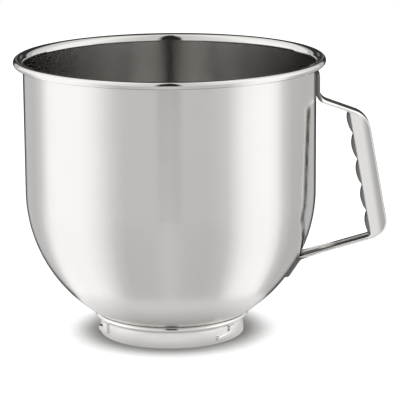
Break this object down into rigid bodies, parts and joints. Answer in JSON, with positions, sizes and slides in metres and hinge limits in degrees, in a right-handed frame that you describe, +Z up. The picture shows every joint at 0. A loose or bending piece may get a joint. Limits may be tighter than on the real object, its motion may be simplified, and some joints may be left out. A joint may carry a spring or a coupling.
{
  "type": "stand mixer bowl",
  "caption": "Deep round-bottomed steel mixing bowl with a rolled rim, a twist-lock foot ring and a folded channel handle with a scalloped finger strip.",
  "frame": {"origin": "on the bowl's axis in the plane that the foot ring stands on", "axes": "+Z up along the bowl's axis, +X out of the bowl through the handle, +Y to the left of the handle seen from the axis"},
  "size_m": [0.268, 0.2238, 0.2024],
  "materials": {
    "bowl_steel": "polished stainless, fine satin on the body",
    "ring_steel": "polished stainless",
    "handle_steel": "polished stainless",
    "grip_steel": "satin stainless"
  },
  "bodies": {
    "root": {"bowl": "bowl_steel", "base_ring": "ring_steel", "handle": "handle_steel", "finger_grip": "grip_steel"}
  },
  "joints": []
}
